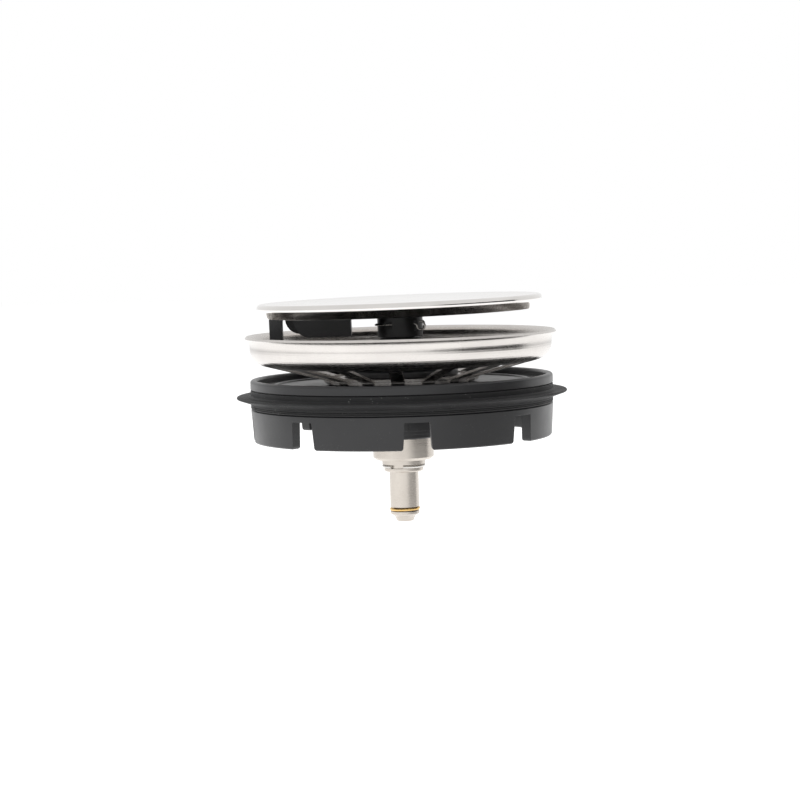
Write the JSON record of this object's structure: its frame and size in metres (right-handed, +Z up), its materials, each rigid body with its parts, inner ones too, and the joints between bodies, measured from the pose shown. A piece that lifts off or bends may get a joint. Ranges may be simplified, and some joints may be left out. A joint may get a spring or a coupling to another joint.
{
  "type": "sink strainer plug",
  "caption": "Covered strainer plug for a kitchen sink outlet: flat steel cover, slotted steel dish, rubber lip seal, black skirt with gaps, and a barrel with a snap-in pin.",
  "frame": {"origin": "on the pin's axis, in the barrel's lower end face, where the free pin starts", "axes": "+Z up along the pin's axis, from the pin's nose to the cover; the cover's leg lies towards -X"},
  "size_m": [0.09, 0.09, 0.0614],
  "materials": {
    "stainless": "satin stainless sheet, fine circular grain",
    "black_plastic": "black moulding, low sheen",
    "seal_rubber": "matte black rubber",
    "nickel_plate": "nickel-plated, turned",
    "brass_wire": "bright drawn wire",
    "spring_steel": "bright drawn wire",
    "acetal": "natural white moulding, sealed inside the barrel"
  },
  "bodies": {
    "cartridge": {"centre_pin": "nickel_plate", "pin_snap_ring": "brass_wire", "barrel": "nickel_plate", "barrel_clip": "spring_steel", "latch_guide": "acetal", "barrel_cap": "acetal", "return_spring": "spring_steel"},
    "plug": {"plunger_rod": "spring_steel", "latch_rotor": "acetal", "rotor_clip": "spring_steel", "centre_post": "black_plastic", "post_washer": "stainless", "floor_gasket": "seal_rubber", "strainer_dish": "stainless", "clamp_ring": "black_plastic", "seal_ring": "seal_rubber", "skirt_ring": "black_plastic", "hub_nut": "black_plastic"},
    "cover": {"cover_plate": "stainless", "cover_carrier": "black_plastic", "cover_clip": "spring_steel"}
  },
  "joints": [
    {"name": "plug_slide", "type": "slide", "parent": "cartridge", "child": "plug", "axis": [0, 0, -1], "range_m": [0, 0.0055], "stiffness_N_per_m": 400, "springref_m": -0.015, "deforming": ["return_spring"]},
    {"name": "cover_lift", "type": "slide", "parent": "plug", "child": "cover", "axis": [0, 0, 1], "range_m": [0, 0.03]}
  ]
}
